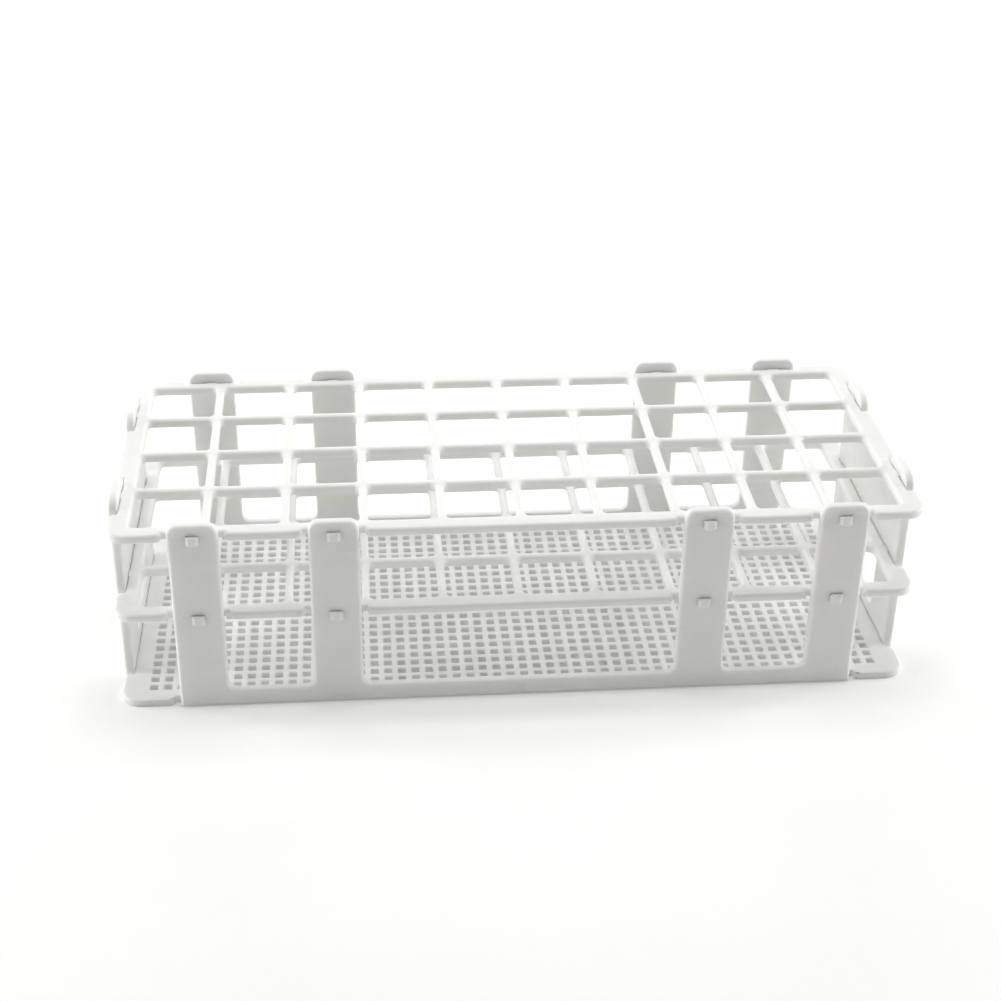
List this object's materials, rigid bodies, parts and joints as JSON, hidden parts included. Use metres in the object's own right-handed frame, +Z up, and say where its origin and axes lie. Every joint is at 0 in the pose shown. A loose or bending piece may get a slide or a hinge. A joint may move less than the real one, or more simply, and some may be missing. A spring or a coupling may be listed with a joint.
{
  "type": "test tube rack",
  "caption": "Snap-together plastic test tube rack: two grid shelves over a mesh base, held by slotted front, back and end panels.",
  "frame": {"origin": "centre of the footprint, on the surface the rack stands on", "axes": "+X along the rack's length, +Y from front to back, +Z up"},
  "size_m": [0.2488, 0.108, 0.0643],
  "materials": {
    "shelf_plastic": "white polypropylene, moulded, satin",
    "panel_plastic": "white polypropylene, moulded, satin"
  },
  "bodies": {
    "root": {"top_shelf": "shelf_plastic", "middle_shelf": "shelf_plastic", "bottom_shelf": "shelf_plastic", "front_panel": "panel_plastic", "back_panel": "panel_plastic", "left_end_panel": "panel_plastic", "right_end_panel": "panel_plastic"}
  },
  "joints": []
}
